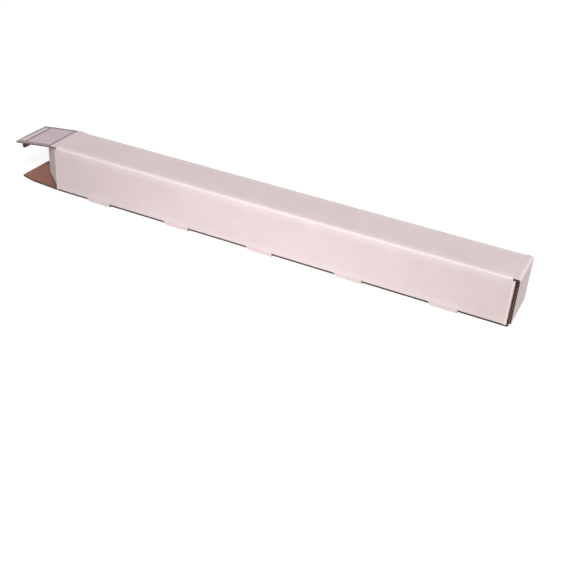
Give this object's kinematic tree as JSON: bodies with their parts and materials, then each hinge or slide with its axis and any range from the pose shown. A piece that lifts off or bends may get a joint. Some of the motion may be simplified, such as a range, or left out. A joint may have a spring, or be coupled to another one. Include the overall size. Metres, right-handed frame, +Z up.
{
  "type": "long self-locking mailer box",
  "caption": "Long square-section folding carton of white-lined corrugated board, with one end closed by a tuck-in lid and the other end open.",
  "frame": {"origin": "centre of the underside of the outer bottom panel", "axes": "+X along the box towards its closed end, -Y out of the front panel, +Z up"},
  "size_m": [0.8841, 0.08, 0.0833],
  "materials": {
    "white_board": "matte white liner outside, brown kraft liner inside"
  },
  "bodies": {
    "box": {"box_body": "white_board"},
    "left_lid": {"left_lid_flap": "white_board"},
    "right_lid": {"right_lid_flap": "white_board"}
  },
  "joints": [
    {"name": "left_lid_fold", "type": "hinge", "parent": "box", "child": "left_lid", "pos_m": [-0.4039, 0, 0.0833], "axis": [0, 1, 0], "range_deg": [0, 95]},
    {"name": "right_lid_fold", "type": "hinge", "parent": "box", "child": "right_lid", "pos_m": [0.4039, 0, 0.0833], "axis": [0, -1, 0], "range_deg": [0, 175]}
  ]
}
